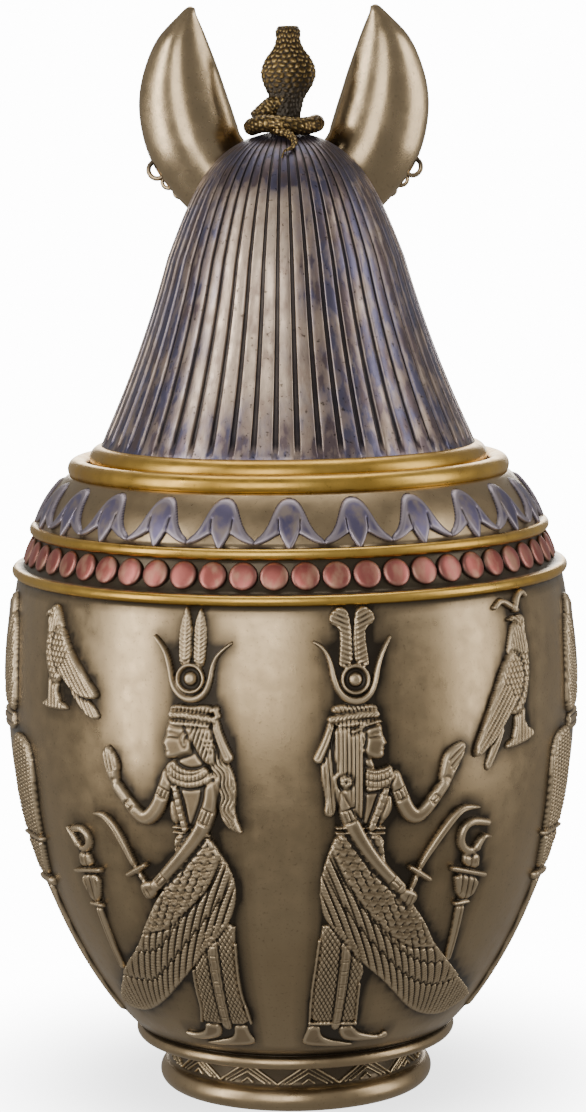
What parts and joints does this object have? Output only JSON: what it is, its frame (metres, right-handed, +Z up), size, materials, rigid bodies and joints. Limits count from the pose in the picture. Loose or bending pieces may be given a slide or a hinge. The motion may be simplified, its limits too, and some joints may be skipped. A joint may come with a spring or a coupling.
{
  "type": "canopic jar",
  "caption": "Hollow footed urn with carved figures and bands, and a lift-off lid shaped as a jackal's head in a pleated wig with a rearing cobra on its crown.",
  "frame": {"origin": "middle of the flat underside of the foot", "axes": "+Z up along the axis the jar is turned on, +Y the way the jackal looks, so the pictured back with the two goddesses faces -Y, and +X to the jackal's right"},
  "size_m": [0.1391, 0.1417, 0.2646],
  "materials": {
    "antique bronze": "satin",
    "bronze with a violet wash": "satin",
    "antique gold": "satin"
  },
  "bodies": {
    "root": {"jar": "antique bronze", "lid": "bronze with a violet wash", "cobra": "antique gold"}
  },
  "joints": []
}
